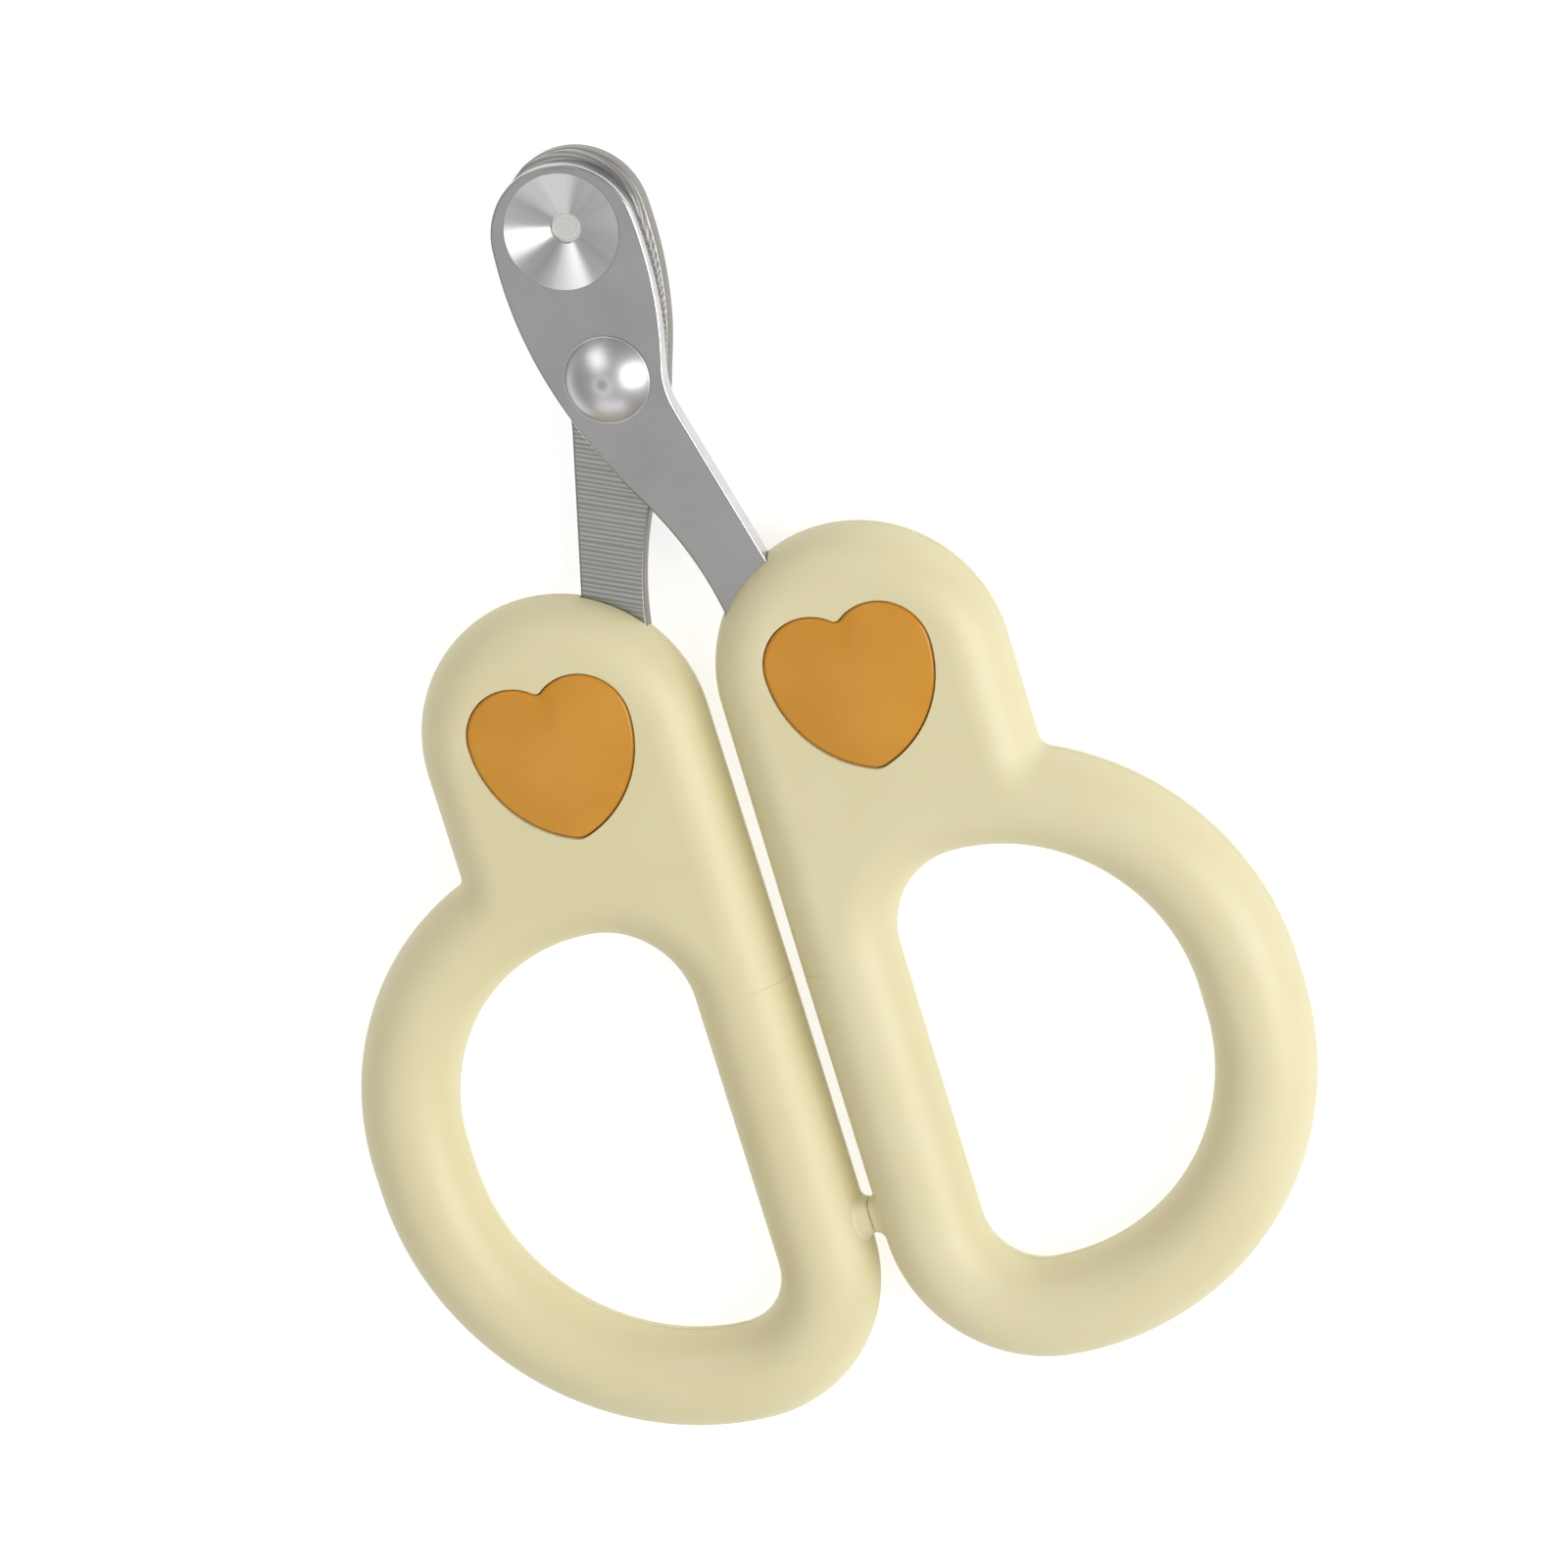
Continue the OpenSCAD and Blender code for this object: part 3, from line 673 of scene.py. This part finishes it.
for side, mirrored in (("right", False), ("left", True)):
    obj = heartPlug(side + "Heart", mirrored)
    obj.data.materials.append(amber)
    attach(obj, f"{side}_half")
    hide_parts(f"{side}_heart")
    screw = frame["nodes"][f"{side}_tang_screw"].data.materials
    screw.clear()
    screw.append(plated)
print("hearts made")


def boreCutter():
    # room for the rivet's shank through both blades
    low, high = rearBlade["bottom"] - 1, frontBlade["bottom"] + frontBlade["thick"] + 1
    radius = rivet["shank"] + rivet["play"]
    return lathe("boreCutter", [(0, low), (radius, low), (radius, high), (0, high)], (0, 0))


def makeFrontBlade():
    # the plate, its countersunk claw hole and the rivet's hole
    b = frontBlade
    low, top = b["bottom"], b["bottom"] + b["thick"]
    obj = plate("frontBlade", bladeOutline(b["headY"]), low, b["thick"], b["rim"])
    slope = (b["sink"] - b["claw"]) / (b["thick"] - b["land"])
    narrow, wide = b["sink"] - b["sinkBreak"], b["sink"] + b["sinkFlare"]
    cone = [(0, low - 1), (b["claw"], low - 1), (b["claw"], low + b["land"]),
            (narrow, top - b["sinkBreak"] / slope), (wide, top), (wide, top + 1), (0, top + 1)]
    cutWith(obj, lathe("sinkCutter", cone, (0, b["clawY"]), segments=160), boreCutter())
    obj.data.materials.append(satin)
    markFaces(obj, polished, lambda c, n: onEdge(n))
    inside = b["sink"] - 0.05
    markFaces(obj, turned, lambda c, n: np.hypot(c[:, 0], c[:, 1] - b["clawY"]) < inside)
    return smooth(obj)


def makeRearBlade():
    # the plate, its sickle-shaped edge with the bevel behind it, and the rivet's hole
    b, q = frontBlade, rearBlade
    low, high, edge = q["bottom"], q["bottom"] + b["thick"], q["edgeR"]
    obj = plate("rearBlade", bladeOutline(q["headY"], q["lean"]), low, b["thick"], b["rim"], mirrored=True)
    edgeX, past = -q["edgeBack"] - edge, 0.5
    outside = edge + q["bevel"] * (1 + past / b["thick"])
    bevel = [(0, low - past), (outside, low - past), (edge, high), (edge, high + past), (0, high + past)]
    cutWith(obj, lathe("bevelCutter", bevel, (edgeX, b["clawY"]), segments=240), boreCutter())

    def onBevel(centres, normals):
        # the edge and the bevel, with a little to spare
        away = np.hypot(centres[:, 0] - edgeX, centres[:, 1] - b["clawY"])
        return onEdge(normals) & (away < edge + q["bevel"] + 0.03)

    obj.data.materials.append(ground)
    markFaces(obj, sheared, lambda c, n: onEdge(n))
    markFaces(obj, polished, onBevel)
    return smooth(obj)


frontPiece = makeFrontBlade()
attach(frontPiece, "right_half")
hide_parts("front_blade")

rearPiece = makeRearBlade()
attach(rearPiece, "left_half")
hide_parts("rear_blade")
print("blades made")


def domeProfile():
    # a ball's cap, its foot rounded, with a shallow dimple at the middle
    v = rivet
    ball = (v["dome"] ** 2 + v["high"] ** 2) / (2 * v["high"])
    r = v["dome"] * np.sin(np.linspace(0, math.pi / 2, 40))
    z = v["domeZ"] + v["high"] - ball + np.sqrt(ball ** 2 - r ** 2)
    z = z - v["dimple"] * np.exp(-(r / v["dimpleR"]) ** 4)
    foot = [(v["dome"] - 0.02, v["domeZ"] + 0.02), (v["dome"] - v["footIn"], v["domeZ"])]
    return list(zip(r, np.maximum(z, v["domeZ"] + v["footUp"]))) + foot


def rivetProfile():
    # the dome, the shank, and the tail: an ellipse's quarter with a shallow hollow in its face
    v = rivet
    t = np.linspace(0, math.pi / 2, 12)
    low, corner = v["tailZ"] - v["tailHigh"], 0.1
    tailR = v["tail"] - v["tailTaper"] * (1 - np.cos(t))
    tailZ = v["tailZ"] - corner - (v["tailHigh"] - corner) * np.sin(t)
    hollow = [(1.2, low), (0.9, low + 0.08), (0.4, low + 0.14), (0, low + 0.15)]
    shank = [(v["shank"], v["domeZ"]), (v["shank"], v["tailZ"]), (v["tail"] - corner, v["tailZ"])]
    return domeProfile() + shank + list(zip(tailR, tailZ)) + hollow


def washerProfile():
    # a flat ring with broken outer edges
    v, e = rivet, rivet["washerEdge"]
    low, high = v["tailZ"], v["tailZ"] + v["washerThick"]
    return [(v["shank"], low), (v["washer"] - e, low), (v["washer"], low + e), (v["washer"], high - e),
            (v["washer"] - e, high), (v["shank"], high), (v["shank"], low)]


for name, profile, node, material in (("pivotRivet", rivetProfile(), "pivot_rivet", tumbled),
                                      ("pivotWasher", washerProfile(), "pivot_washer", polished)):
    obj = smooth(lathe(name, profile, (0, 0)), 50)
    obj.data.materials.append(material)
    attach(obj, "left_half")
    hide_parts(node)
print("rivet and washer made")


studio = {
    "floor": "#b4b4b3",
    "floorSize": 3.0, "floorDown": 0.0002,   # metres
    "glow": 0.72,               # the sheet is lit from behind too, so that it stays white under the part
    "air": 0.36,                # even light from all round
    # azimuth round from +X, elevation, distance, width and height in metres, watts
    "lights": {
        "windowLeft": (110, 44, 1.0, (0.5, 0.75), 2.1),
        "windowRight": (-10, 39, 1.0, (0.6, 0.75), 7.3),
        "overhead": (216, 68, 1.3, (0.8, 0.8), 1.5),
        "lowFill": (-108, 30, 1.2, (1.1, 0.6), 1.8),
    },
}


def softbox(name, azimuth, elevation, distance, size, watts):
    # a soft panel out in that direction, facing the part
    data = bpy.data.lights.new(name, "AREA")
    data.shape, data.size, data.size_y, data.energy = "RECTANGLE", size[0], size[1], watts
    obj = bpy.data.objects.new(name, data)
    bpy.context.scene.collection.objects.link(obj)
    a, e = math.radians(azimuth), math.radians(elevation)
    way = Vector((math.cos(e) * math.cos(a), math.cos(e) * math.sin(a), math.sin(e)))
    obj.matrix_world = Matrix.Translation(way * distance) @ way.to_track_quat("Z", "Y").to_matrix().to_4x4()


def addStudio():
    s, z = studio["floorSize"] / 2, -studio["floorDown"]
    mesh = bpy.data.meshes.new("floor")
    mesh.from_pydata([(-s, -s, z), (s, -s, z), (s, s, z), (-s, s, z)], [], [(0, 1, 2, 3)])
    floor = bpy.data.objects.new("floor", mesh)
    bpy.context.scene.collection.objects.link(floor)
    # white paper sheet, lit from behind
    paper, tree, shader = newMaterial("paperSweep")
    feed(tree, shader, Base_Color=linear(studio["floor"]), Roughness=0.9,
         Emission_Color=(1, 1, 1, 1), Emission_Strength=studio["glow"])
    floor.data.materials.append(paper)
    for name, light in studio["lights"].items():
        softbox(name, *light)
    world = bpy.data.worlds.new("studioAir")
    bpy.context.scene.world = world
    world.use_nodes = True
    back = world.node_tree.nodes["Background"]
    back.inputs["Color"].default_value = (1, 1, 1, 1)
    back.inputs["Strength"].default_value = studio["air"]
    bpy.context.scene.view_settings.view_transform = "Standard"


addStudio()
print("floor and lights set")
